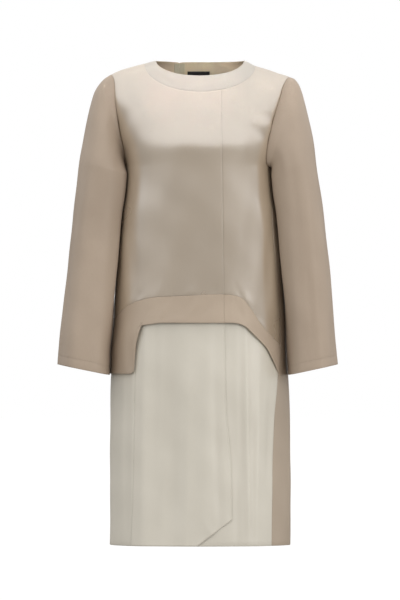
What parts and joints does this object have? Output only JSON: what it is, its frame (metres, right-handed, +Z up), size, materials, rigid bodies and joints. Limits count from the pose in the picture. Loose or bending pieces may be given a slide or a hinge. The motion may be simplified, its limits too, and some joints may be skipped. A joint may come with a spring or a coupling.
{
  "type": "layered tunic top",
  "caption": "Knee-length layered satin tunic top, open and filled out as worn: arched hem overlay with a square and a pointed tail, wrap skirt, long sleeves and a back zip with a hinged pull",
  "frame": {"origin": "middle of the neck at the height of the shoulder points, where the wearer's shoulders hold the garment", "axes": "+Z up, -Y out of the front, +X to the wearer's left"},
  "size_m": [0.5886, 0.2502, 1.0204],
  "materials": {
    "taupe_satin": "heavy matt-backed satin with a soft sheen",
    "cream_satin": "heavy satin with a soft sheen",
    "zip_tape": "woven tape",
    "zip_metal": "satin enamel in the cloth's colour",
    "label_cloth": "plain damask tape"
  },
  "bodies": {
    "garment": {"bodice_front_main": "taupe_satin", "bodice_front_side": "taupe_satin", "hem_band_main": "taupe_satin", "hem_band_side": "taupe_satin", "back_main": "taupe_satin", "back_side": "taupe_satin", "neckband_front": "taupe_satin", "neckband_back_main": "taupe_satin", "neckband_back_side": "taupe_satin", "sleeve_left": "taupe_satin", "sleeve_right": "taupe_satin", "skirt_front_over": "cream_satin", "skirt_front_under": "cream_satin", "skirt_side": "cream_satin", "zip_tape_main": "zip_tape", "zip_tape_side": "zip_tape", "zip_slider": "zip_metal", "label": "label_cloth"},
    "zip_pull": {"zip_pull": "zip_metal"}
  },
  "joints": [
    {"name": "zip_pull_hinge", "type": "hinge", "parent": "garment", "child": "zip_pull", "pos_m": [-0.04486, 0.06477, -0.01141], "axis": [0.9345, 0.3559, 0], "range_deg": [0, 150]}
  ]
}
